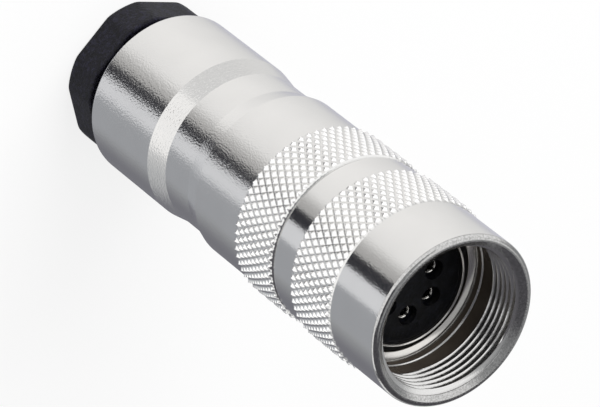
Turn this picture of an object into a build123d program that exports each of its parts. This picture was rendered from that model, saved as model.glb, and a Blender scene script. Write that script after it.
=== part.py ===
from build123d import *

import math
import os

# Field-attachable circular connector with a knurled coupling ring, five socket
# contacts and a cable gland. It stands on its gland nut, mouth up: +Z runs from the
# cable end to the mating end, and the origin is the middle of the nut's rear face.
# All sizes are in millimetres.

# Lengths along the axis, from the cable end to the mouth
nut_head_length = 4.3
nut_gap = 1.2
rear_cylinder_length = 11.1
bevel_length = 2.75
neck_length = 4.15
ramp_length = 2.3
mid_cylinder_length = 7.6
housing_knurl_length = 6.6
ring_gap = 0.15
plain_band_length = 3.25
ring_knurl_length = 6.8
ring_front_length = 7.5

# Outside of the metal sleeves, as steps from the ring's smooth front
plain_band_step = 0.03
mid_cylinder_step = 0.08
rear_cylinder_step = 0.19
neck_step = 0.65
rear_edge_round = 0.4
mouth_edge_round = 0.5

# Diamond knurl, the same tool on both bands
knurl_start_count = 64
knurl_crest_rise = 0.33
knurl_depth = 0.28
knurl_diamond_length = 1.53
knurl_front_chamfer = 0.45
knurl_rear_run_in = 0.2
knurl_edge_step = 0.06

# Mating thread and the cavity behind it
mating_thread_radius = 7.6
mating_thread_length = 5.0
mouth_chamfer_width = 1.1
mouth_chamfer_length = 1.1
cavity_relief = 0.7
ring_wall = 1.05

# Inner shell that carries the insulator
shell_flange_depth = 7.8
shell_flange_thickness = 2.0
shell_lip_proud = 0.5
shell_lip_wall = 0.35
shell_wall = 1.0
shell_bore_radius = 6.05
shell_screwed_length = 6.0
shell_shoulder_width = 0.75
seal_groove_width = 0.7
seal_groove_depth = 1.3

# Insulator and its retainer
insert_rim_width = 0.8
insert_rim_drop = 0.3
insert_below_lip = 0.05
insert_length = 7.65
retainer_thickness = 2.2
keyway_width = 1.6
keyway_depth = 0.7
keyway_length = 3.0

# Socket contacts
contact_count = 5
contact_pitch_radius = 3.0
contact_spacing = 60.0
first_contact_angle = -78.5
contact_recess_radius = 1.08
contact_recess_depth = 0.9
contact_radius = 0.85
contact_bore_radius = 0.52
contact_bore_depth = 5.2
contact_slot_width = 0.25
contact_slot_length = 3.6
contact_collar_radius = 1.15
contact_collar_length = 0.6
solder_cup_length = 4.5
solder_cup_bore_radius = 0.6
solder_cup_depth = 3.0
solder_cup_window = 2.2

# Seals
front_seal_thickness = 0.7
shell_o_ring_section = 0.5
shell_o_ring_setback = 1.0
seal_radius_inside = 3.7
seal_edge_chamfer = 0.4

# Wiring space and shield rings
chamber_step = 0.4
spacer_wall = 1.35
spacer_split = 0.1
shield_ring_thickness = 2.0
shield_bore_radius = 4.6
shield_nose_wall = 0.5
shield_nose_length = 1.2
seal_washer_thickness = 0.6

# Clamping cage
cage_wall = 0.85
cage_base_length = 1.2
cage_finger_count = 8
cage_slot_width = 0.9
cage_tip_setback = 3.0
cage_length = 12.0
cage_tooth_length = 2.6
cage_tooth_radius = 4.35

# Gland nut
nut_flat_rise = 0.8
nut_corner_rise = 0.4
nut_edge_round = 0.3
nut_bore_radius = 4.1
nut_bore_flare_radius = 5.0
nut_bore_flare_length = 0.9
nut_bore_length = 5.0
nut_thread_radius = 7.3
nut_relief_step = 0.4
nut_shank_wall = 0.7
nut_shank_length = 9.1
nut_cone_start_radius = 5.0
nut_cone_setback = 1.0
housing_thread_spare = 1.0
housing_thread_chamfer = 0.4

# Clearances
running_gap = 0.08
fixed_gap = 0.03
cone_gap = 0.1

# Heights that follow from the lengths
housing_rear = nut_head_length + nut_gap
bevel_start = housing_rear + rear_cylinder_length
neck_start = bevel_start + bevel_length
ramp_start = neck_start + neck_length
mid_start = ramp_start + ramp_length
housing_knurl_start = mid_start + mid_cylinder_length
housing_front = housing_knurl_start + housing_knurl_length
ring_rear = housing_front + ring_gap
ring_knurl_start = ring_rear + plain_band_length
ring_front_start = ring_knurl_start + ring_knurl_length
mouth = ring_front_start + ring_front_length

flange_front = mouth - shell_flange_depth
flange_rear = flange_front - shell_flange_thickness
lip_front = flange_front + shell_lip_proud
insert_front = lip_front - insert_below_lip
insert_rear = insert_front - insert_length
retainer_rear = insert_rear - retainer_thickness
shell_rear = housing_front - shell_screwed_length
contact_front = insert_front - contact_recess_depth
cup_rear = retainer_rear - solder_cup_length

# Heights inside the cable end
nut_shank_front = nut_head_length + nut_shank_length
nut_cone_end = nut_shank_front - nut_cone_setback
housing_thread_top = nut_shank_front + housing_thread_spare
cage_tip = nut_bore_length + cage_tip_setback
cage_front = cage_tip + cage_length
washer_front = cage_front + seal_washer_thickness
shield_clamp_front = washer_front + shield_ring_thickness
shield_ring_front = shield_clamp_front + shield_ring_thickness

# Outer radii
cavity_radius = mating_thread_radius + cavity_relief
ring_front_radius = cavity_radius + ring_wall
plain_band_radius = ring_front_radius - plain_band_step
mid_cylinder_radius = ring_front_radius - mid_cylinder_step
rear_cylinder_radius = ring_front_radius - rear_cylinder_step
neck_radius = ring_front_radius - neck_step
knurl_crest_radius = ring_front_radius + knurl_crest_rise
knurl_groove_radius = knurl_crest_radius - knurl_depth

# Radii that follow from the fits
lip_radius = shell_bore_radius + shell_lip_wall
seal_groove_radius = lip_radius + seal_groove_width
shell_flange_radius = cavity_radius - 2 * running_gap
shell_tube_radius = shell_bore_radius + shell_wall
ring_shoulder_radius = shell_tube_radius + running_gap
insert_radius = shell_bore_radius - fixed_gap
shell_shoulder_radius = shell_bore_radius - shell_shoulder_width
shell_thread_bore = shell_tube_radius + fixed_gap
chamber_radius = nut_thread_radius - chamber_step
spacer_radius = chamber_radius - fixed_gap
nut_thread_bore = nut_thread_radius + running_gap
cage_base_radius = chamber_radius - running_gap
cage_finger_radius = nut_thread_radius - nut_shank_wall - cone_gap
cage_inner_radius = cage_finger_radius - cage_wall
nut_flat_radius = nut_thread_radius + nut_flat_rise
nut_corner_radius = nut_flat_radius + nut_corner_rise
nut_relief_radius = nut_thread_radius - nut_relief_step
nut_cone_end_radius = nut_thread_radius - nut_shank_wall


def turned(*corners):
    """Solid of revolution about Z through (radius, height) corners."""
    outline = Polyline(*corners, close=True)
    return revolve(Plane.XZ * make_face(outline), Axis.Z)


def tube(inner, outer, low, high):
    """Plain ring between two radii and two heights."""
    return turned((inner, low), (outer, low), (outer, high), (inner, high))


def rod(radius, low, high, x=0, y=0):
    """Solid cylinder between two heights."""
    return Pos(x, y, low) * Cylinder(radius, high - low, align=(Align.CENTER, Align.CENTER, Align.MIN))


def block(width, length, low, high):
    """Upright box centred on the axis."""
    return Pos(0, 0, low) * Box(width, length, high - low, align=(Align.CENTER, Align.CENTER, Align.MIN))


def single(shape):
    """The only solid of a finished shape."""
    return shape.solids()[0]


def knurl_plug(low, high, edge_radius, diamond_rows):
    """Solid drum with sharp diamonds outside and a sloping run-in at each end."""
    half_steps = 2 * knurl_start_count
    first_row = low + knurl_rear_run_in
    last_row = high - knurl_front_chamfer
    row_pitch = (last_row - first_row) / diamond_rows
    heights = [low] + [first_row + row_pitch * row for row in range(diamond_rows + 1)] + [high]
    last = len(heights) - 1

    def point(step, row):
        """Lattice point: a crest where step and row differ in parity, else a groove crossing."""
        radius = knurl_crest_radius if (step + row) % 2 else knurl_groove_radius
        if row in (0, last):
            radius = edge_radius
        angle = math.pi * (step % half_steps) / knurl_start_count
        return Vector(radius * math.cos(angle), radius * math.sin(angle), heights[row])

    def facet(*corners):
        """Flat face through lattice corners."""
        return Face(Wire.make_polygon([point(*corner) for corner in corners]))

    facets = []
    for row in range(last):
        for step in range(half_steps):
            a, b = (step, row), (step + 1, row)
            c, d = (step + 1, row + 1), (step, row + 1)
            if (step + row) % 2 == 0:
                facets += [facet(a, b, c), facet(a, c, d)]
            else:
                facets += [facet(a, b, d), facet(b, c, d)]
    facets.append(facet(*[(step, 0) for step in range(half_steps)]))
    facets.append(facet(*[(step, last) for step in range(half_steps)]))
    return Solid(Shell(facets))


def knurl_rows(length):
    """Number of half diamonds that fit between the two run-ins of a band."""
    return round((length - knurl_front_chamfer - knurl_rear_run_in) / (knurl_diamond_length / 2))


def coupling_ring():
    """Ring with the mating thread, one knurled band and a smooth front."""
    base = turned(
        (0, ring_rear),
        (plain_band_radius, ring_rear),
        (plain_band_radius, ring_knurl_start + knurl_rear_run_in),
        (ring_front_radius, ring_front_start - knurl_front_chamfer),
        (ring_front_radius, mouth),
        (0, mouth),
    )
    outer_edge = base.edges().filter_by(GeomType.CIRCLE).sort_by(Axis.Z)[-1]
    base = fillet(outer_edge, mouth_edge_round)
    edge_radius = max(plain_band_radius, ring_front_radius) + knurl_edge_step
    plug = knurl_plug(ring_knurl_start, ring_front_start, edge_radius, knurl_rows(ring_knurl_length))
    bore = turned(
        (0, ring_rear),
        (ring_shoulder_radius, ring_rear),
        (ring_shoulder_radius, flange_rear - running_gap),
        (cavity_radius, flange_rear - running_gap),
        (cavity_radius, mouth - mating_thread_length),
        (mating_thread_radius, mouth - mating_thread_length),
        (mating_thread_radius, mouth - mouth_chamfer_length),
        (mating_thread_radius + mouth_chamfer_width, mouth),
        (0, mouth),
    )
    return single(base + plug - bore)


def housing_sleeve():
    """Sleeve with a knurled front, a necked middle and the gland thread at the rear."""
    base = turned(
        (0, housing_rear),
        (rear_cylinder_radius, housing_rear),
        (rear_cylinder_radius, bevel_start),
        (neck_radius, neck_start),
        (neck_radius, ramp_start),
        (mid_cylinder_radius, mid_start),
        (mid_cylinder_radius, housing_front - knurl_front_chamfer),
        (0, housing_front - knurl_front_chamfer),
    )
    rear_edge = base.edges().filter_by(GeomType.CIRCLE).sort_by(Axis.Z)[0]
    base = fillet(rear_edge, rear_edge_round)
    edge_radius = mid_cylinder_radius + knurl_edge_step
    plug = knurl_plug(housing_knurl_start, housing_front, edge_radius, knurl_rows(housing_knurl_length))
    bore = turned(
        (0, housing_rear),
        (nut_thread_bore + housing_thread_chamfer, housing_rear),
        (nut_thread_bore, housing_rear + housing_thread_chamfer),
        (nut_thread_bore, housing_thread_top),
        (chamber_radius, housing_thread_top),
        (chamber_radius, shell_rear),
        (shell_thread_bore, shell_rear),
        (shell_thread_bore, housing_front),
        (0, housing_front),
    )
    return single(base + plug - bore)


def o_ring_height():
    """Height of the middle of the shell's O-ring."""
    return housing_front - shell_o_ring_setback - shell_o_ring_section


def o_ring_middle_radius():
    """Radius of the middle of the O-ring's section, just inside the housing's bore."""
    return shell_thread_bore - fixed_gap - shell_o_ring_section


def insert_shell():
    """Metal shell: lip, seal groove and flange in the mouth, screwed tube behind."""
    groove_low = o_ring_height() - shell_o_ring_section - fixed_gap
    groove_high = o_ring_height() + shell_o_ring_section + fixed_gap
    groove_floor = o_ring_middle_radius() - shell_o_ring_section - fixed_gap
    return single(turned(
        (shell_bore_radius, retainer_rear),
        (shell_bore_radius, lip_front),
        (lip_radius, lip_front),
        (lip_radius, flange_front - seal_groove_depth),
        (seal_groove_radius, flange_front - seal_groove_depth),
        (seal_groove_radius, flange_front),
        (shell_flange_radius, flange_front),
        (shell_flange_radius, flange_rear),
        (shell_tube_radius, flange_rear),
        (shell_tube_radius, groove_high),
        (groove_floor, groove_high),
        (groove_floor, groove_low),
        (shell_tube_radius, groove_low),
        (shell_tube_radius, shell_rear),
        (shell_shoulder_radius, shell_rear),
        (shell_shoulder_radius, retainer_rear),
    ))


def shell_o_ring():
    """Rubber ring in the shell's outer groove."""
    return single(Pos(0, 0, o_ring_height()) * Torus(o_ring_middle_radius(), shell_o_ring_section))


def front_seal():
    """Flat rubber ring on the floor of the groove round the lip."""
    floor = flange_front - seal_groove_depth
    top = floor + front_seal_thickness
    return single(tube(lip_radius + fixed_gap, seal_groove_radius - fixed_gap, floor, top))


def contact_places():
    """Middle of each contact, as x and y, round the pitch circle."""
    angles = [math.radians(first_contact_angle + contact_spacing * n) for n in range(contact_count)]
    return [(contact_pitch_radius * math.cos(a), contact_pitch_radius * math.sin(a)) for a in angles]


def contact_insert():
    """Insulator with a lower rim, a keyway and a stepped hole for each contact."""
    body = turned(
        (0, insert_rear),
        (insert_radius, insert_rear),
        (insert_radius, insert_front - insert_rim_drop),
        (insert_radius - insert_rim_width, insert_front - insert_rim_drop),
        (insert_radius - insert_rim_width, insert_front),
        (0, insert_front),
    )
    for x, y in contact_places():
        body -= rod(contact_radius + fixed_gap, insert_rear, contact_front, x, y)
        body -= rod(contact_recess_radius, contact_front, insert_front, x, y)
    keyway = block(2 * keyway_depth, keyway_width, insert_front - keyway_length, insert_front)
    keyway = Pos(insert_radius, 0, 0) * keyway
    return single(body - Rot(0, 0, first_contact_angle - contact_spacing) * keyway)


def contact_retainer():
    """Disc behind the insulator with a pocket for each contact's collar."""
    body = rod(insert_radius, retainer_rear, insert_rear)
    pocket_floor = insert_rear - contact_collar_length
    for x, y in contact_places():
        body -= rod(contact_radius + fixed_gap, retainer_rear, insert_rear, x, y)
        body -= rod(contact_collar_radius + fixed_gap, pocket_floor, insert_rear, x, y)
    return single(body)


def socket_contact(x, y):
    """Turned socket with a slotted mouth, a locking collar and an open solder cup."""
    body = turned(
        (0, cup_rear),
        (contact_radius, cup_rear),
        (contact_radius, insert_rear - contact_collar_length),
        (contact_collar_radius, insert_rear - contact_collar_length),
        (contact_collar_radius, insert_rear),
        (contact_radius, insert_rear),
        (contact_radius, contact_front),
        (contact_bore_radius, contact_front),
        (contact_bore_radius, contact_front - contact_bore_depth),
        (0, contact_front - contact_bore_depth),
    )
    body -= rod(solder_cup_bore_radius, cup_rear, cup_rear + solder_cup_depth)
    slot_floor = contact_front - contact_slot_length
    body -= block(contact_slot_width, 2 * contact_radius, slot_floor, contact_front)
    window = block(2 * contact_radius, 2 * contact_radius, cup_rear, cup_rear + solder_cup_window)
    body -= Pos(contact_radius, 0, 0) * window
    return single(Pos(x, y, 0) * Rot(0, 0, math.degrees(math.atan2(y, x))) * body)


def spacer_half(side):
    """Half of the sleeve round the wires; side is 1 or -1 along X."""
    body = tube(spacer_radius - spacer_wall, spacer_radius, shield_ring_front, shell_rear)
    half = Pos(side * (spacer_radius + spacer_split / 2), 0, 0) * block(
        2 * spacer_radius, 2 * spacer_radius, shield_ring_front, shell_rear
    )
    return single(body & half)


def shield_ring():
    """Ring with a nose towards the cable, over which the braid is folded."""
    nose_radius = shield_bore_radius + shield_nose_wall
    return single(turned(
        (shield_bore_radius, shield_clamp_front - shield_nose_length),
        (nose_radius, shield_clamp_front - shield_nose_length),
        (nose_radius, shield_clamp_front),
        (spacer_radius, shield_clamp_front),
        (spacer_radius, shield_ring_front),
        (shield_bore_radius, shield_ring_front),
    ))


def shield_clamp_ring():
    """Ring that pinches the braid on the shield ring's nose."""
    inner = shield_bore_radius + shield_nose_wall + running_gap
    return single(turned(
        (shield_bore_radius, washer_front),
        (spacer_radius, washer_front),
        (spacer_radius, shield_clamp_front),
        (inner, shield_clamp_front),
        (inner, shield_clamp_front - shield_nose_length - fixed_gap),
        (shield_bore_radius, shield_clamp_front - shield_nose_length - fixed_gap),
    ))


def seal_washer():
    """Flat washer between the seal and the shield rings."""
    return single(tube(seal_radius_inside, cage_base_radius, cage_front, washer_front))


def cable_seal():
    """Rubber grommet round the cable, inside the cage's fingers."""
    outer = cage_inner_radius - fixed_gap
    low = cage_tip + cage_tooth_length + fixed_gap
    return single(turned(
        (seal_radius_inside + seal_edge_chamfer, low),
        (outer, low),
        (outer, cage_front),
        (seal_radius_inside + seal_edge_chamfer, cage_front),
        (seal_radius_inside, cage_front - seal_edge_chamfer),
        (seal_radius_inside, low + seal_edge_chamfer),
    ))


def clamping_cage():
    """Collar with fingers whose toothed tips bend in on the cable."""
    cone_slope = (nut_cone_end_radius - nut_cone_start_radius) / (nut_cone_end - nut_bore_length)
    tip_radius = cage_finger_radius - cone_slope * (nut_cone_end - cage_tip)
    body = turned(
        (cage_tooth_radius, cage_tip),
        (tip_radius, cage_tip),
        (cage_finger_radius, nut_cone_end),
        (cage_finger_radius, cage_front - cage_base_length),
        (cage_base_radius, cage_front - cage_base_length),
        (cage_base_radius, cage_front),
        (cage_inner_radius, cage_front),
        (cage_inner_radius, cage_tip + cage_tooth_length),
        (cage_tooth_radius, cage_tip + cage_tooth_length),
    )
    slot = Pos(cage_base_radius, 0, 0) * block(
        2 * cage_base_radius, cage_slot_width, cage_tip, cage_front - 2 * cage_base_length
    )
    for n in range(cage_finger_count):
        body -= Rot(0, 0, 360 / cage_finger_count * n) * slot
    return single(body)


def gland_nut():
    """Hexagon nut with a threaded shank and a cone that closes the cage."""
    hexagon = RegularPolygon(nut_flat_radius, 6, major_radius=False)
    head = extrude(hexagon, nut_head_length) & rod(nut_corner_radius, 0, nut_head_length)
    head = fillet(head.edges(), nut_edge_round)
    shank = turned(
        (0, nut_head_length),
        (nut_relief_radius, nut_head_length),
        (nut_relief_radius, housing_rear),
        (nut_thread_radius, housing_rear + nut_relief_step),
        (nut_thread_radius, nut_shank_front),
        (0, nut_shank_front),
    )
    bore = turned(
        (0, 0),
        (nut_bore_flare_radius, 0),
        (nut_bore_radius, nut_bore_flare_length),
        (nut_bore_radius, nut_bore_length),
        (nut_cone_start_radius, nut_bore_length),
        (nut_cone_end_radius, nut_cone_end),
        (nut_cone_end_radius, nut_shank_front),
        (0, nut_shank_front),
    )
    return single(head + shank - bore)


def all_parts():
    """Every piece under the name of its file."""
    parts = {
        "coupling_ring": coupling_ring(),
        "housing_sleeve": housing_sleeve(),
        "insert_shell": insert_shell(),
        "shell_o_ring": shell_o_ring(),
        "front_seal": front_seal(),
        "contact_insert": contact_insert(),
        "contact_retainer": contact_retainer(),
        "spacer_half_right": spacer_half(1),
        "spacer_half_left": spacer_half(-1),
        "shield_ring": shield_ring(),
        "shield_clamp_ring": shield_clamp_ring(),
        "seal_washer": seal_washer(),
        "cable_seal": cable_seal(),
        "clamping_cage": clamping_cage(),
        "gland_nut": gland_nut(),
    }
    for number, (x, y) in enumerate(contact_places(), start=1):
        parts[f"contact_{number}"] = socket_contact(x, y)
    return parts


os.makedirs("parts", exist_ok=True)
for name, part in all_parts().items():
    part.label = name
    export_step(part, f"parts/{name}.step")
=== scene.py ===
import math

import bpy
import numpy as np
from mathutils import Matrix, Vector


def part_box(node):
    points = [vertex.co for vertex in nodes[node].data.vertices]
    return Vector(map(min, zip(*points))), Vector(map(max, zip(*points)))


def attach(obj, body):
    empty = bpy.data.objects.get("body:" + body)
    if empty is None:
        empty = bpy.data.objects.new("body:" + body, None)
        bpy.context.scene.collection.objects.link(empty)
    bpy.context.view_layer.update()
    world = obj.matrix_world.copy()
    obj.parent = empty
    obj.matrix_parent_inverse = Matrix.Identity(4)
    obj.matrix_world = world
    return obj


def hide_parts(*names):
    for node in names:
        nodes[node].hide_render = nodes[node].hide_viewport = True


# A knurled circular connector, standing on its gland nut with its mouth up.
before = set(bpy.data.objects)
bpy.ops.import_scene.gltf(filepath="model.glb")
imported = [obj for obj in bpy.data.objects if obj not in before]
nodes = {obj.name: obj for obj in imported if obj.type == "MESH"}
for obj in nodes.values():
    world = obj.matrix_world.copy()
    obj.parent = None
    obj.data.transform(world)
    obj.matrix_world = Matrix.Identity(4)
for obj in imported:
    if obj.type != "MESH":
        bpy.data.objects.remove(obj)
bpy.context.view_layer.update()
MM = 0.001

# Heights taken from the model, in metres
nut_low, shank_high = (corner[2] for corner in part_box("gland_nut"))
housing_low, housing_high = (corner[2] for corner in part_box("housing_sleeve"))
ring_low, mouth = (corner[2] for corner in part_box("coupling_ring"))
shell_low, lip_high = (corner[2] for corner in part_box("insert_shell"))

# Lengths of the housing's and the ring's sections, from the cable end up
rear_cylinder_length = 11.1 * MM
bevel_length = 2.75 * MM
neck_length = 4.15 * MM
ramp_length = 2.3 * MM
mid_cylinder_length = 7.6 * MM
plain_band_length = 3.25 * MM
ring_knurl_length = 6.8 * MM
housing_thread_length = 8.9 * MM
shell_screwed_length = 6.0 * MM

# Radii of the metal sleeves
rear_cylinder_radius = 9.16 * MM
neck_radius = 8.70 * MM
mid_cylinder_radius = 9.27 * MM
plain_band_radius = 9.32 * MM
ring_front_radius = 9.35 * MM
knurl_crest_radius = 9.68 * MM
knurl_groove_radius = 9.40 * MM
housing_thread_bore = 7.38 * MM
chamber_radius = 6.9 * MM
shell_thread_bore = 7.08 * MM
ring_shoulder_radius = 7.13 * MM
cavity_radius = 8.3 * MM
cavity_step = 0.12 * MM

# Rounded and chamfered edges, and the steps they are drawn in
rear_edge_round = 0.6 * MM
mouth_edge_round = 0.5 * MM
small_edge_round = 0.1 * MM
mouth_chamfer_radius = 8.68 * MM
mouth_chamfer_slope = 1.4
housing_thread_chamfer = 0.4 * MM
edge_support = 0.03 * MM
supported_run = 4 * edge_support
edge_steps = 6
inner_edge_steps = 8
mouth_edge_steps = 12

# Creases sharper than these stay sharp, in degrees
turned_crease = 70
ridge_crease = 25
rim_crease = 60

# Where the ring's cavity is stained, where its rim is worn and where a knurl's flanks begin
stain_radius = 8.6 * MM
stain_edge = 0.06 * MM
stain_start = 0.2 * MM
clean_below_step = 0.18 * MM
clean_above_step = 0.06 * MM
worn_rim_edge = 0.2 * MM
knurl_flank_radius = 9.45 * MM

# Diamond knurl: 64 grooves each way, a sloping run-in behind and a turned chamfer in front
knurl_starts = 64
knurl_half_rows = 8
knurl_divisions = 6
knurl_floor_share = 0.12
knurl_front_chamfer = 0.34 * MM
knurl_front_strip = 0.18 * MM
knurl_rear_run_in = 0.2 * MM
knurl_edge_step = 0.1 * MM
chamfer_rows = 3
turn_steps = 2 * knurl_starts * knurl_divisions

# Internal thread at the mouth
mating_pitch = 0.75 * MM
mating_root_radius = 8.15 * MM
mating_crest_radius = 7.66 * MM
mating_thread_length = 5.0 * MM

# Cavity behind the thread: where its floor is and the little step in its wall
flange_back_depth = 9.88 * MM
cavity_step_depth = 6.84 * MM
cavity_step_height = mouth - cavity_step_depth

# Inner shell: screwed tube, flange, groove for the front seal and thin lip
shell_flange_depth = 7.8 * MM
shell_flange_thickness = 2.0 * MM
shell_flange_radius = 8.24 * MM
shell_flange_round = 0.15 * MM
shell_dish_slope = 0.35
shell_dish_curve = 160.0
shell_tube_radius = 7.05 * MM
shell_bore_radius = 6.05 * MM
shell_shoulder_radius = 5.3 * MM
shell_shoulder_depth = 17.2 * MM
shell_lip_radius = 6.4 * MM
seal_groove_radius = 7.1 * MM
seal_groove_depth = 1.3 * MM
o_ring_groove_floor = 6.02 * MM
o_ring_groove_low = 3.97 * MM
o_ring_groove_high = 5.03 * MM

# Rounded rims of the split socket contacts
contact_count = 5
contact_rim_radius = 0.685 * MM
contact_rim_round = 0.165 * MM
contact_rim_rise = -0.045 * MM
contact_rim_gap = math.radians(14)
contact_rim_steps = 28
contact_rim_sides = 12

# Gland nut: hexagon with turned corners, threaded shank and a cone inside
nut_sides = 6
nut_head_length = 4.3 * MM
nut_flat_radius = 8.1 * MM
nut_corner_radius = 8.5 * MM
nut_corner_blend = 0.05 * MM
nut_edge_round = 0.3 * MM
nut_relief_radius = 6.9 * MM
nut_relief_length = 1.2 * MM
gland_pitch = 1.0 * MM
gland_root_radius = 6.75 * MM
gland_crest_radius = 7.3 * MM
nut_bore_radius = 4.1 * MM
nut_bore_flare_radius = 5.0 * MM
nut_bore_flare_length = 0.9 * MM
nut_bore_length = 5.0 * MM
nut_cone_end_radius = 6.6 * MM
nut_cone_setback = 1.0 * MM

# Thread ridges: how far a ridge's base sinks into its wall, how finely it is drawn and how its ends fade
ridge_sink = 0.06 * MM
ridge_sides = 10
ridge_steps_per_turn = 240
ridge_fades_per_turn = 8

# Noises: features per metre, octaves and how strong each octave is against the one before
turning_marks = (9000.0, 3.0, 0.6)
metal_speckle = (5200.0, 1.0, 0.5)
metal_clouds = (260.0, 3.0, 0.5)
moulded_grain = (3800.0, 3.0, 0.65)
moulded_mottle = (1400.0, 3.0, 0.6)

# Metal: how deep its grain is, and what noise, knurl, stain and wear do to tint and roughness; the knurl's
# brighter tint is painted sheen
around_the_axis = (0.02, 0.02, 1.0)
metal_grain_depth = 0.02 * MM
cloud_factors = (0.95, 1.03)
worn_factors = (0.4, 0.95)
stain_tones = ((70, 9), (112, 9))
stain_metal_loss = 0.5
nickel_tint = (0.79, 0.785, 0.775, 1.0)
# The knurl's tint is far brighter than the nickel's: a painted sheen that makes its tops look near-white
knurl_painted_sheen = (0.98, 0.975, 0.97, 1.0)
shell_tint = (0.78, 0.76, 0.73, 1.0)
silver_tint = (0.86, 0.84, 0.80, 1.0)
speckle_roughness = 0.08
knurl_roughness = 0.08
inside_roughness = 0.07

# Plastics and rubber, all nearly black
nut_black = (0.0115, 0.011, 0.0215)
insulator_black = (0.0032, 0.0036, 0.0054)
inner_black = (0.03, 0.03, 0.032)
rubber_black = (0.018, 0.018, 0.018)

# Plastic: how deep its grain is, where its noises turn from dark to light and how they change its roughness
moulded_grain_depth = 0.08 * MM
grain_contrast = (0.5, 0.3)
mottle_contrast = (0.5, 0.4)
grain_roughness = 0.15
grain_roughness_offset = -0.07

# Studio, in degrees: azimuth 0 is the camera's side and grows towards +X; elevation is above the horizon
key_azimuth = -62
key_tones = ((150, -2), (232, 1))
all_round = (-200, 200)
underneath = (-100, -86)
below = (-88, -35)
slope = (-35, -23)
above = (-23, 100)
around_level = (-23, 36)

# Narrowed panels close up towards the floor, so that the ramp mirrors the same strips as the cylinders
narrowing_elevation = -53
narrowing_edge = 14
narrowing_share = 0.36

# Panels that the metal mirrors, each in front of those before: tone, place and how soft the edges are.
# A tone is a display level from 0 to 255, then its warmth and its lavender cast.
panel_rise = 8
studio_panels = {
    "far side, low": dict(tone=(112, 0, 6), azimuths=(114, 215), elevations=(-60, -35), edge=44),
    "streak's shade": dict(tone=(166, 1), azimuths=(-9, 20), elevations=below, edge=22, narrowed=True),
    "lower flank": dict(tone=(153, -2, 2), azimuths=(50, 100), elevations=below, edge=10, narrowed=True),
    "light strip": dict(tone=(206, -1, 2), azimuths=(22, 50.5), elevations=below, edge=2, narrowed=True),
    "dark streak": dict(tone=(44, 0, 5), azimuths=(8, 25.5), elevations=below, edge=3, narrowed=True),
    "upper outline": dict(tone=(184, 0, 8), azimuths=(-215, -146), elevations=(-100, -35), edge=24),
    "table": dict(tone=(206, 0, 6), azimuths=all_round, elevations=underneath, edge=1, rise=3),
    "bevel": dict(tone=(204,), azimuths=all_round, elevations=slope, edge=1, rise=3),
    "bevel's light": dict(tone=(242, 1), azimuths=(-14, 62), elevations=slope, edge=6, rise=3),
    "bevel's far side": dict(tone=(180, -1), azimuths=(74, 215), elevations=slope, edge=40, rise=3),
    "room": dict(tone=(150, -1), azimuths=all_round, elevations=above, edge=1, rise=3),
    "broad light": dict(tone=(246,), azimuths=(-128, 140), elevations=around_level, edge=20, rise=5),
    "gap in the light": dict(tone=(96, 0, 5), azimuths=(106, 116), elevations=around_level, edge=5),
    "thread's dim side": dict(tone=(80, 1, 5), azimuths=(56, 215), elevations=(4, 62), edge=12),
    "upper dim side": dict(tone=(80, 1, 5), azimuths=(8, 70), elevations=(24, 62), edge=12),
    "light overhead": dict(tone=(234,), azimuths=(-168, -56), elevations=(34, 80), edge=26, rise=14),
}
mirrored_strength = 1.25
even_strength = 0.6
white = (1.0, 1.0, 1.0, 1.0)

# Floor and lamp
floor_half_width = 0.6
floor_tone = (0.9, 0.9, 0.9, 1.0)
floor_white_share = 0.8
lamp_width = 0.35
lamp_power = 2.2
lamp_place = (-0.30, -0.15, 0.45)
lamp_target = (0, 0, 0.03)

# Camera, as the photograph was taken: far away, looking down into the mouth
focal_length = 324.0
sensor_width = 36.0
view_distance = 521.28 * MM
view_polar_angle = math.radians(44.73)
view_roll = math.radians(128.34)
view_clip = 10.0
mouth_offset_right = 14.87 * MM
mouth_offset_down = 11.49 * MM


def add_piece(name, points, faces):
    """Object of a mesh, linked to the scene."""
    mesh = bpy.data.meshes.new(name)
    mesh.from_pydata(points, [], faces)
    mesh.validate()
    piece = bpy.data.objects.new(name, mesh)
    bpy.context.scene.collection.objects.link(piece)
    return piece


def smooth_with_edges(piece, angle):
    """Smooth shading that keeps edges sharper than an angle in degrees."""
    piece.data.shade_smooth()
    piece.data.set_sharp_from_angle(angle=math.radians(angle))


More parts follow.
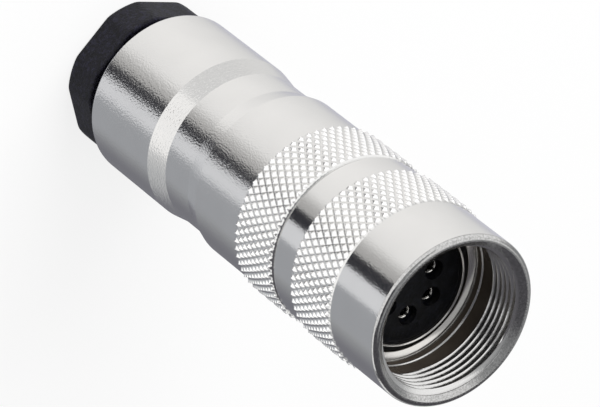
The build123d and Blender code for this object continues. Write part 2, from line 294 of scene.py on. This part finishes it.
class Section:
    """Closed section turned round the axis: rows run up the outside and back down the inside."""

    def __init__(self):
        self.rows = []
        self.flips = []

    def add(self, radii, height, flip=None):
        """One row of points; flip says per step which way its quads split."""
        angles = np.arange(turn_steps) * (2 * math.pi / turn_steps)
        radii = np.broadcast_to(radii, angles.shape)
        heights = np.broadcast_to(height, angles.shape)
        points = np.stack([radii * np.cos(angles), radii * np.sin(angles), heights], axis=1)
        self.rows.append(points)
        self.flips.append(flip)

    def path(self, *corners):
        """Straight stretches between (radius, height) corners, with close rows that keep them flat."""
        for (radius, height), (next_radius, next_height) in zip(corners, corners[1:]):
            self.add(radius, height)
            run = math.hypot(np.max(next_radius) - np.max(radius), next_height - height)
            if run > supported_run:
                for share in (edge_support / run, 1 - edge_support / run):
                    between = radius + (next_radius - radius) * share
                    self.add(between, height + (next_height - height) * share)
        self.add(*corners[-1])

    def round_edge(self, radius, height, size, outward, steps=edge_steps):
        """Quarter round at an outer corner, over its lower edge or, if not outward, its upper edge."""
        for step in range(1, steps):
            angle = math.pi / 2 * step / steps
            if outward:
                self.add(radius - size * (1 - math.sin(angle)), height + size * (1 - math.cos(angle)))
            else:
                self.add(radius - size * (1 - math.cos(angle)), height - size * (1 - math.sin(angle)))

    def round_inside(self, radius, height, size, steps=inner_edge_steps):
        """Quarter round at the upper edge of a bore."""
        for step in range(1, steps):
            angle = math.pi / 2 * step / steps
            self.add(radius + size * (1 - math.sin(angle)), height - size * (1 - math.cos(angle)))

    def knurl(self, low, high, base_radius):
        """Diamond band: grooves along both diagonals of a lattice, run in behind and chamfered in front."""
        strip_low = high - knurl_front_strip
        first, last = low + knurl_rear_run_in, strip_low - knurl_front_chamfer
        edge_radius = base_radius + knurl_edge_step
        depth = knurl_crest_radius - knurl_groove_radius
        row_height = (last - first) / knurl_half_rows
        steps = np.arange(turn_steps) / knurl_divisions
        inner = [first + (last - first) * n / (knurl_half_rows * knurl_divisions)
                 for n in range(knurl_half_rows * knurl_divisions + 1)]
        outer = [last + knurl_front_chamfer * n / chamfer_rows for n in range(1, chamfer_rows + 1)]
        for height in [low] + inner + outer:
            across = (height - first) / row_height
            # Both are 0 in the grooves of their direction and 1 halfway between them
            one = 1 - np.abs((steps - across) % 2 - 1)
            other = 1 - np.abs((steps + across) % 2 - 1)
            nearest = np.minimum(one, other)
            rise = np.maximum(nearest - knurl_floor_share, 0) / (1 - knurl_floor_share)
            radii = knurl_groove_radius + depth * rise
            run_in = (height - low) / knurl_rear_run_in
            run_out = (strip_low - height) / knurl_front_chamfer
            cone = edge_radius + (knurl_crest_radius - edge_radius) * min(run_in, run_out, 1)
            # Each quad splits along the nearer groove
            other_after = 1 - np.abs((steps + across + 1 / knurl_divisions) % 2 - 1)
            self.add(np.minimum(radii, cone), height, one > other_after)
        self.flips[-1] = None
        self.add(base_radius, high)

    def piece(self, name):
        """The finished object."""
        count = len(self.rows)
        step = np.arange(turn_steps)
        after = (step + 1) % turn_steps
        faces = []
        for row, flip in enumerate(self.flips):
            low, high = row * turn_steps, (row + 1) % count * turn_steps
            quads = np.stack([low + step, low + after, high + after, high + step], axis=1)
            if flip is None:
                faces += quads.tolist()
            else:
                faces += quads[flip][:, [0, 1, 3]].tolist() + quads[flip][:, [1, 2, 3]].tolist()
                faces += quads[~flip][:, [0, 1, 2]].tolist() + quads[~flip][:, [0, 2, 3]].tolist()
        made = add_piece(name, np.concatenate(self.rows).tolist(), faces)
        smooth_with_edges(made, turned_crease)
        return made


def thread_ridge(name, low, high, pitch, base_radius, crest_radius, limit=None):
    """Helical ridge of a rounded thread; limit gives the radius it can't pass at a height."""
    turns = (high - low) / pitch - 1
    count = int(turns * ridge_steps_per_turn)
    direction = 1 if crest_radius > base_radius else -1
    sunk_radius = base_radius - direction * ridge_sink
    profile = []
    for side in range(ridge_sides + 1):
        share = side / ridge_sides
        rise = 0.5 - 0.5 * math.cos(2 * math.pi * share)
        profile.append((sunk_radius + (crest_radius - sunk_radius) * rise, share - 0.5))
    points = []
    for n in range(count + 1):
        angle = 2 * math.pi * n / ridge_steps_per_turn
        middle = low + pitch * (0.5 + n / ridge_steps_per_turn)
        steps_from_end = min(n, count - n)
        fade = min(1, ridge_fades_per_turn * steps_from_end / ridge_steps_per_turn)
        for radius, offset in profile:
            height = middle + offset * pitch
            radius = sunk_radius + (radius - sunk_radius) * fade
            if limit is not None:
                radius = max(radius, limit(height))
            points.append((radius * math.cos(angle), radius * math.sin(angle), height))
    faces = []
    width = len(profile)
    for n in range(count):
        for side in range(width):
            a, b = n * width + side, n * width + (side + 1) % width
            face = (a, a + width, b + width, b)
            faces.append(face if direction > 0 else face[::-1])
    first, last = tuple(range(width)), tuple(range(count * width, count * width + width))
    faces += [first, last[::-1]] if direction > 0 else [first[::-1], last]
    piece = add_piece(name, points, faces)
    smooth_with_edges(piece, ridge_crease)
    return piece


def coupling_ring_piece():
    """Ring with its knurl outside, its rounded mouth and the wall behind the thread."""
    section = Section()
    knurl_low = ring_low + plain_band_length
    knurl_high = knurl_low + ring_knurl_length
    thread_low = mouth - mating_thread_length
    flange_back = mouth - flange_back_depth
    root_height = mouth - (mouth_chamfer_radius - mating_root_radius) / mouth_chamfer_slope
    section.path((ring_shoulder_radius, ring_low), (plain_band_radius - small_edge_round, ring_low))
    section.round_edge(plain_band_radius, ring_low, small_edge_round, True)
    section.path((plain_band_radius, ring_low + small_edge_round), (plain_band_radius, knurl_low))
    section.knurl(knurl_low, knurl_high, ring_front_radius)
    section.path(
        (ring_front_radius, knurl_high + edge_support),
        (ring_front_radius, mouth - mouth_edge_round),
    )
    section.round_edge(ring_front_radius, mouth, mouth_edge_round, False, mouth_edge_steps)
    section.path(
        (ring_front_radius - mouth_edge_round, mouth),
        (mouth_chamfer_radius, mouth),
        (mating_root_radius, root_height),
        (mating_root_radius, thread_low),
        (cavity_radius, thread_low),
        (cavity_radius, cavity_step_height),
        (cavity_radius - cavity_step, cavity_step_height - cavity_step),
        (cavity_radius - cavity_step, flange_back),
        (ring_shoulder_radius, flange_back),
        (ring_shoulder_radius, ring_low + edge_support),
    )
    ring = section.piece("coupling_ring_finished")
    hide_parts("coupling_ring")

    def chamfer_limit(height):
        """Radius of the mouth's chamfer at a height."""
        return mouth_chamfer_radius - (mouth - height) * mouth_chamfer_slope

    ridge = thread_ridge("mating_thread", thread_low, mouth - small_edge_round, mating_pitch,
                         mating_root_radius, mating_crest_radius, chamfer_limit)
    for piece in (ring, ridge):
        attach(piece, "ring")
    return ring, ridge


def housing_piece():
    """Housing with its knurl, neck and bevel outside and a plain stepped bore."""
    section = Section()
    bevel_low = housing_low + rear_cylinder_length
    neck_low = bevel_low + bevel_length
    ramp_low = neck_low + neck_length
    mid_low = ramp_low + ramp_length
    knurl_low = mid_low + mid_cylinder_length
    thread_high = housing_low + housing_thread_length
    shell_end = housing_high - shell_screwed_length
    section.path(
        (housing_thread_bore + housing_thread_chamfer, housing_low),
        (rear_cylinder_radius - rear_edge_round, housing_low),
    )
    section.round_edge(rear_cylinder_radius, housing_low, rear_edge_round, True)
    section.path(
        (rear_cylinder_radius, housing_low + rear_edge_round),
        (rear_cylinder_radius, bevel_low),
        (neck_radius, neck_low),
        (neck_radius, ramp_low),
        (mid_cylinder_radius, mid_low),
        (mid_cylinder_radius, knurl_low),
    )
    section.knurl(knurl_low, housing_high, mid_cylinder_radius)
    section.path(
        (shell_thread_bore, housing_high),
        (shell_thread_bore, shell_end),
        (chamber_radius, shell_end),
        (chamber_radius, thread_high),
        (housing_thread_bore, thread_high),
        (housing_thread_bore, housing_low + housing_thread_chamfer),
    )
    piece = section.piece("housing_sleeve_finished")
    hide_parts("housing_sleeve")
    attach(piece, "housing")
    return piece


def insert_shell_piece():
    """Screwed shell with a rounded flange and a thin lip round the insulator."""
    section = Section()
    flange_high = mouth - shell_flange_depth
    flange_low = flange_high - shell_flange_thickness
    groove_floor = flange_high - seal_groove_depth
    shoulder = mouth - shell_shoulder_depth
    groove_low, groove_high = shell_low + o_ring_groove_low, shell_low + o_ring_groove_high
    section.path(
        (shell_shoulder_radius, shell_low),
        (shell_tube_radius, shell_low),
        (shell_tube_radius, groove_low),
        (o_ring_groove_floor, groove_low),
        (o_ring_groove_floor, groove_high),
        (shell_tube_radius, groove_high),
        (shell_tube_radius, flange_low),
        (shell_flange_radius, flange_low),
        (shell_flange_radius, flange_high - small_edge_round),
    )
    section.round_edge(shell_flange_radius, flange_high, small_edge_round, False)
    section.path(
        (shell_flange_radius - small_edge_round, flange_high),
        (seal_groove_radius + shell_flange_round, flange_high),
    )
    section.round_inside(seal_groove_radius, flange_high, shell_flange_round)
    section.path(
        (seal_groove_radius, flange_high - shell_flange_round),
        (seal_groove_radius, groove_floor),
        (shell_lip_radius, groove_floor),
        (shell_lip_radius, lip_high - small_edge_round),
    )
    section.round_edge(shell_lip_radius, lip_high, small_edge_round, False)
    section.path(
        (shell_lip_radius - small_edge_round, lip_high),
        (shell_bore_radius + small_edge_round, lip_high),
    )
    section.round_inside(shell_bore_radius, lip_high, small_edge_round)
    section.path(
        (shell_bore_radius, lip_high - small_edge_round),
        (shell_bore_radius, shoulder),
        (shell_shoulder_radius, shoulder),
        (shell_shoulder_radius, shell_low + edge_support),
    )
    piece = section.piece("insert_shell_finished")
    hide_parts("insert_shell")
    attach(piece, "housing")
    return piece


def contact_rims_piece():
    """Rounded rims on both halves of each split contact."""
    points, faces = [], []
    sides = contact_rim_sides
    for number in range(1, contact_count + 1):
        low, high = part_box(f"contact_{number}")
        centre_x, centre_y = (low[0] + high[0]) / 2, (low[1] + high[1]) / 2
        for middle in (0, math.pi):
            start = len(points)
            for step in range(contact_rim_steps + 1):
                share = 2 * step / contact_rim_steps - 1
                angle = middle + share * (math.pi / 2 - contact_rim_gap)
                for side in range(sides):
                    turn = 2 * math.pi * side / sides
                    radius = contact_rim_radius + contact_rim_round * math.cos(turn)
                    x = centre_x + radius * math.cos(angle)
                    y = centre_y + radius * math.sin(angle)
                    points.append((x, y, high[2] + contact_rim_rise + contact_rim_round * math.sin(turn)))
            for step in range(contact_rim_steps):
                for side in range(sides):
                    a = start + step * sides + side
                    b = start + step * sides + (side + 1) % sides
                    faces.append((a, a + sides, b + sides, b))
            end = start + contact_rim_steps * sides
            faces.append(tuple(range(start, start + sides)))
            faces.append(tuple(range(end + sides - 1, end - 1, -1)))
    rims = add_piece("contact_rims", points, faces)
    smooth_with_edges(rims, rim_crease)
    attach(rims, "housing")
    return rims


def nut_outline():
    """Radius of the nut's head for each step: flats blended into turned corners."""
    angles = np.arange(turn_steps) * (2 * math.pi / turn_steps)
    sector = 2 * math.pi / nut_sides
    from_flat = angles % sector - sector / 2
    flats = nut_flat_radius / np.cos(from_flat)
    gap = (nut_corner_radius - flats) / nut_corner_blend
    return nut_corner_radius - nut_corner_blend * np.logaddexp(0, gap)


def gland_nut_piece():
    """Moulded nut with rounded edges and a threaded shank."""
    section = Section()
    outline = nut_outline()
    head_high = nut_low + nut_head_length
    relief_high = head_high + nut_relief_length
    cone_high = shank_high - nut_cone_setback
    section.path((nut_bore_flare_radius, nut_low), (outline - nut_edge_round, nut_low))
    section.round_edge(outline, nut_low, nut_edge_round, True)
    section.path((outline, nut_low + nut_edge_round), (outline, head_high - nut_edge_round))
    section.round_edge(outline, head_high, nut_edge_round, False)
    section.path(
        (outline - nut_edge_round, head_high),
        (nut_relief_radius, head_high),
        (nut_relief_radius, relief_high),
        (gland_root_radius, relief_high),
        (gland_root_radius, shank_high),
        (nut_cone_end_radius, shank_high),
        (nut_cone_end_radius, cone_high),
        (nut_bore_flare_radius, nut_low + nut_bore_length),
        (nut_bore_radius, nut_low + nut_bore_length),
        (nut_bore_radius, nut_low + nut_bore_flare_length),
    )
    nut = section.piece("gland_nut_finished")
    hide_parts("gland_nut")
    ridge = thread_ridge("gland_thread", relief_high, shank_high, gland_pitch,
                         gland_root_radius, gland_crest_radius)
    for piece in (nut, ridge):
        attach(piece, "nut")
    return nut, ridge


class Shader:
    """Shorthand for building a node tree."""

    def __init__(self, owner):
        owner.use_nodes = True
        self.tree = owner.node_tree
        self.tree.nodes.clear()

    def node(self, kind, **settings):
        """A node with its properties set."""
        made = self.tree.nodes.new(kind)
        for key, value in settings.items():
            setattr(made, key, value)
        return made

    def value(self, target, value):
        """A constant on a socket, or a wire if the value is a socket."""
        if isinstance(value, bpy.types.NodeSocket):
            self.tree.links.new(value, target)
        else:
            target.default_value = value

    def filled(self, kind, inputs, **settings):
        """A node with some of its inputs set or wired."""
        made = self.node(kind, **settings)
        for key, value in inputs.items():
            self.value(made.inputs[key], value)
        return made

    def math(self, operation, *values):
        """Result of a math node."""
        return self.filled("ShaderNodeMath", dict(enumerate(values)), operation=operation).outputs[0]

    def noise(self, vector, scale, detail=2.0, roughness=0.5):
        """Noise of a vector."""
        inputs = {"Vector": vector, "Scale": scale, "Detail": detail, "Roughness": roughness}
        return self.filled("ShaderNodeTexNoise", inputs).outputs["Fac"]

    def stretched(self, vector, scale):
        """A vector scaled along its axes."""
        return self.filled("ShaderNodeMapping", {"Vector": vector, "Scale": scale}).outputs["Vector"]

    def step(self, value, middle, edge):
        """Smooth rise from 0 to 1 about a middle."""
        inputs = {"Value": value, "From Min": middle - edge / 2, "From Max": middle + edge / 2}
        made = self.filled("ShaderNodeMapRange", inputs, interpolation_type="SMOOTHSTEP")
        return made.outputs["Result"]

    def span(self, value, low, high, edge):
        """Mask that is 1 between two values, with soft edges."""
        return self.math("SUBTRACT", self.step(value, low, edge), self.step(value, high, edge))

    def mix(self, share, start, end):
        """Blend of two colours."""
        made = self.node("ShaderNodeMix", data_type="RGBA")
        sockets = made.inputs["Factor"], made.inputs[6], made.inputs[7]
        for socket, value in zip(sockets, (share, start, end)):
            self.value(socket, value)
        return made.outputs[2]

    def choose(self, share, start, end):
        """Blend of two surfaces."""
        return self.filled("ShaderNodeMixShader", {0: share, 1: start, 2: end}).outputs[0]

    def bump(self, height, strength, distance, normal=None):
        """Normal from a height."""
        inputs = {"Strength": strength, "Distance": distance, "Height": height}
        if normal is not None:
            inputs["Normal"] = normal
        return self.filled("ShaderNodeBump", inputs).outputs["Normal"]

    def output(self, kind, surface):
        """The tree's end."""
        self.filled(kind, {"Surface": surface})


def shade(level, warmth=0, lavender=0):
    """Linear colour of an 8-bit display level; warmth raises red and lowers blue, lavender raises blue."""
    levels = (level + warmth, level, level - warmth + lavender)
    return tuple(((step / 255 + 0.055) / 1.055) ** 2.4 for step in levels) + (1.0,)


def scaled(colour, factor):
    """Colour with each channel scaled."""
    return tuple(factor * channel for channel in colour[:3]) + (1.0,)


def nickel(name, tint, roughness, grain, turning, stained=None, dished=False):
    """Turned, nickel-plated brass: a slight grain, fine marks round the axis and faint clouds, with a
    painted sheen brightening the knurl.

    Between the pairs of heights in stained, the wall inside the ring is dark, and its rim is worn.
    A dished flange is shaded as if it sank towards its bore."""
    material = bpy.data.materials.new(name)
    shader = Shader(material)
    place = shader.node("ShaderNodeTexCoord").outputs["Object"]
    marks = shader.noise(shader.stretched(place, around_the_axis), *turning_marks)
    speckle = shader.noise(place, *metal_speckle)
    clouds = shader.noise(place, *metal_clouds)
    normal = shader.bump(marks, turning, metal_grain_depth)
    normal = shader.bump(speckle, 1.0, grain * metal_grain_depth, normal)
    x, y, z = shader.filled("ShaderNodeSeparateXYZ", {0: place}).outputs
    squares = shader.math("ADD", shader.math("MULTIPLY", x, x), shader.math("MULTIPLY", y, y))
    knurled = shader.math("GREATER_THAN", squares, knurl_flank_radius ** 2)
    colour = shader.mix(clouds, *(scaled(tint, factor) for factor in cloud_factors))
    # Knurled flanks take the brighter tint, a painted sheen on the same plating
    colour = shader.mix(knurled, colour, knurl_painted_sheen)
    rough = shader.math("MULTIPLY_ADD", speckle, speckle_roughness, roughness - speckle_roughness / 2)
    rough = shader.math("MULTIPLY_ADD", knurled, knurl_roughness, rough)
    metallic = 1.0
    if dished:
        radius = shader.math("SQRT", squares)
        inward = shader.math("SUBTRACT", shell_flange_radius, radius)
        fall = shader.math("MULTIPLY", shader.math("MULTIPLY", inward, inward), -shell_dish_curve)
        normal = shader.bump(shader.math("MULTIPLY_ADD", radius, shell_dish_slope, fall), 1.0, 1.0, normal)
    if stained is not None:
        inside = shader.math("LESS_THAN", squares, stain_radius ** 2)
        rough = shader.math("MULTIPLY_ADD", inside, inside_roughness, rough)
        rim = shader.step(z, mouth - mouth_edge_round, worn_rim_edge)
        worn = shader.mix(speckle, *(scaled(tint, factor) for factor in worn_factors))
        colour = shader.mix(rim, colour, worn)
        dark = shader.mix(clouds, *(shade(*tone) for tone in stain_tones))
        for low, high in stained:
            share = shader.math("MULTIPLY", inside, shader.span(z, low, high, stain_edge))
            colour = shader.mix(share, colour, dark)
            metallic = shader.math("MULTIPLY_ADD", share, -stain_metal_loss, metallic)
    inputs = {"Base Color": colour, "Metallic": metallic, "Roughness": rough, "Normal": normal}
    shader.output("ShaderNodeOutputMaterial", shader.filled("ShaderNodeBsdfPrincipled", inputs).outputs[0])
    return material


def plastic(name, colour, roughness, grain, shine=0.5, mottle=0.3):
    """Moulded black plastic with a fine grain and faint clouds."""
    material = bpy.data.materials.new(name)
    shader = Shader(material)
    place = shader.node("ShaderNodeTexCoord").outputs["Object"]
    fine = shader.noise(place, *moulded_grain)
    broad = shader.noise(place, *moulded_mottle)
    dark, light = scaled(colour, 1 - mottle), scaled(colour, 1 + mottle)
    spots = shader.mix(shader.step(fine, *grain_contrast), dark, light)
    tone = shader.mix(shader.step(broad, *mottle_contrast), dark, spots)
    rough = shader.math("MULTIPLY_ADD", fine, grain_roughness, roughness + grain_roughness_offset)
    normal = shader.bump(fine, grain, moulded_grain_depth)
    inputs = {"Base Color": tone, "Roughness": rough, "Specular IOR Level": shine, "Normal": normal}
    shader.output("ShaderNodeOutputMaterial", shader.filled("ShaderNodeBsdfPrincipled", inputs).outputs[0])
    return material


def dress(material, *pieces):
    """Puts one material on CAD nodes, given by name, or on new pieces."""
    for piece in pieces:
        piece = nodes[piece] if isinstance(piece, str) else piece
        piece.data.materials.clear()
        piece.data.materials.append(material)


def make_world():
    """Soft studio: even light for matt surfaces, and panels that only the metal sees."""
    world = bpy.data.worlds.new("studio")
    bpy.context.scene.world = world
    shader = Shader(world)
    direction = shader.node("ShaderNodeTexCoord").outputs["Generated"]
    x, y, z = shader.filled("ShaderNodeSeparateXYZ", {0: direction}).outputs
    toward = shader.math("MULTIPLY", y, -1.0)
    angle = shader.math("ARCTAN2", x, toward)
    azimuth = shader.math("DEGREES", angle)
    elevation = shader.math("DEGREES", shader.math("ARCSINE", z))
    near_floor = shader.math("SUBTRACT", 1.0, shader.step(elevation, narrowing_elevation, narrowing_edge))
    narrowing = shader.math("MULTIPLY_ADD", near_floor, -narrowing_share, 1.0)
    narrowed_azimuth = shader.math("MULTIPLY", azimuth, narrowing)

    def panel(view, tone, azimuths, elevations, edge, rise=panel_rise, narrowed=False):
        """The view with one soft-edged panel in front."""
        across = shader.span(narrowed_azimuth if narrowed else azimuth, *azimuths, edge)
        upright = shader.span(elevation, *elevations, rise)
        return shader.mix(shader.math("MULTIPLY", across, upright), view, shade(*tone))

    from_key = shader.math("SUBTRACT", angle, math.radians(key_azimuth))
    key_share = shader.math("MULTIPLY_ADD", shader.math("COSINE", from_key), 0.5, 0.5)
    view = shader.mix(key_share, *(shade(*tone) for tone in key_tones))
    for settings in studio_panels.values():
        view = panel(view, **settings)
    paths = shader.node("ShaderNodeLightPath")
    mirrored = shader.filled("ShaderNodeBackground", {"Color": view, "Strength": mirrored_strength})
    even = shader.filled("ShaderNodeBackground", {"Color": white, "Strength": even_strength})
    plain = shader.filled("ShaderNodeBackground", {"Color": white, "Strength": 1.0})
    lit = shader.choose(paths.outputs["Is Glossy Ray"], even.outputs[0], mirrored.outputs[0])
    seen = shader.choose(paths.outputs["Is Camera Ray"], lit, plain.outputs[0])
    shader.output("ShaderNodeOutputWorld", seen)


def make_floor():
    """White floor that keeps a soft shadow and lets the metal see the studio's panels below."""
    size = floor_half_width
    corners = [(-size, -size, 0), (size, -size, 0), (size, size, 0), (-size, size, 0)]
    floor = add_piece("floor", corners, [(0, 1, 2, 3)])
    material = bpy.data.materials.new("floor_white")
    shader = Shader(material)
    paths = shader.node("ShaderNodeLightPath")
    matt = shader.filled("ShaderNodeBsdfDiffuse", {"Color": floor_tone})
    bright = shader.filled("ShaderNodeEmission", {"Color": white, "Strength": 1.0})
    clear = shader.filled("ShaderNodeBsdfTransparent", {})
    share = shader.math("MULTIPLY", paths.outputs["Is Camera Ray"], floor_white_share)
    seen = shader.choose(share, matt.outputs[0], bright.outputs[0])
    open_to_gloss = shader.choose(paths.outputs["Is Glossy Ray"], seen, clear.outputs[0])
    shader.output("ShaderNodeOutputMaterial", open_to_gloss)
    floor.data.materials.append(material)


def make_lamp():
    """One broad soft lamp, high on the left of the object, which the metal doesn't mirror."""
    lamp = bpy.data.lights.new("softbox", "AREA")
    lamp.shape = "RECTANGLE"
    lamp.size = lamp_width
    lamp.size_y = lamp_width
    lamp.energy = lamp_power
    holder = bpy.data.objects.new("softbox", lamp)
    holder.visible_glossy = False
    holder.location = lamp_place
    aim = Vector(lamp_target) - holder.location
    holder.rotation_euler = aim.to_track_quat("-Z", "Y").to_euler()
    bpy.context.scene.collection.objects.link(holder)


def make_camera():
    """Telephoto camera, rolled so that the connector points to the lower right."""
    forward = Vector((0, math.sin(view_polar_angle), -math.cos(view_polar_angle)))
    level_right = Vector((1, 0, 0))
    level_up = level_right.cross(forward)
    right = level_right * math.cos(view_roll) + level_up * math.sin(view_roll)
    down = forward.cross(right)
    camera = bpy.data.cameras.new("camera")
    camera.lens = focal_length
    camera.sensor_width = sensor_width
    camera.clip_end = view_clip
    holder = bpy.data.objects.new("camera", camera)
    front = Vector((0, 0, mouth))
    place = front - right * mouth_offset_right - down * mouth_offset_down - forward * view_distance
    axes = Matrix((right, -down, -forward)).transposed()
    holder.matrix_world = Matrix.Translation(place) @ axes.to_4x4()
    bpy.context.scene.collection.objects.link(holder)
    bpy.context.scene.camera = holder


stained = (
    (mouth - shell_flange_depth + stain_start, cavity_step_height - clean_below_step),
    (cavity_step_height + clean_above_step, mouth - mating_thread_length + edge_support),
)
ring_metal = nickel("nickel_ring", nickel_tint, roughness=0.12, grain=0.4, turning=0.03, stained=stained)
housing_metal = nickel("nickel_housing", nickel_tint, roughness=0.15, grain=1.0, turning=0.02)
shell_metal = nickel("nickel_shell", shell_tint, roughness=0.16, grain=0.1, turning=0.05, dished=True)
contact_metal = nickel("contact_silver", silver_tint, roughness=0.16, grain=0.1, turning=0.05)
nut_plastic = plastic("nut_plastic", nut_black, roughness=0.55, grain=1.4, shine=0.25, mottle=0.8)
insert_plastic = plastic("insulator", insulator_black, roughness=0.45, grain=0.5, shine=0.2, mottle=0.9)
inner_plastic = plastic("inner_plastic", inner_black, roughness=0.5, grain=0.2)
rubber = plastic("rubber", rubber_black, roughness=0.7, grain=0.3)

dress(ring_metal, *coupling_ring_piece())
dress(housing_metal, housing_piece())
dress(nut_plastic, *gland_nut_piece())
dress(shell_metal, insert_shell_piece(), "shield_ring", "shield_clamp_ring")
dress(insert_plastic, "contact_insert", "contact_retainer")
dress(inner_plastic, "spacer_half_right", "spacer_half_left", "seal_washer", "clamping_cage")
dress(rubber, "shell_o_ring", "front_seal", "cable_seal")
dress(contact_metal, contact_rims_piece(), *(f"contact_{number}" for number in range(1, contact_count + 1)))

make_world()
make_floor()
make_lamp()
make_camera()
bpy.context.scene.view_settings.view_transform = "Standard"
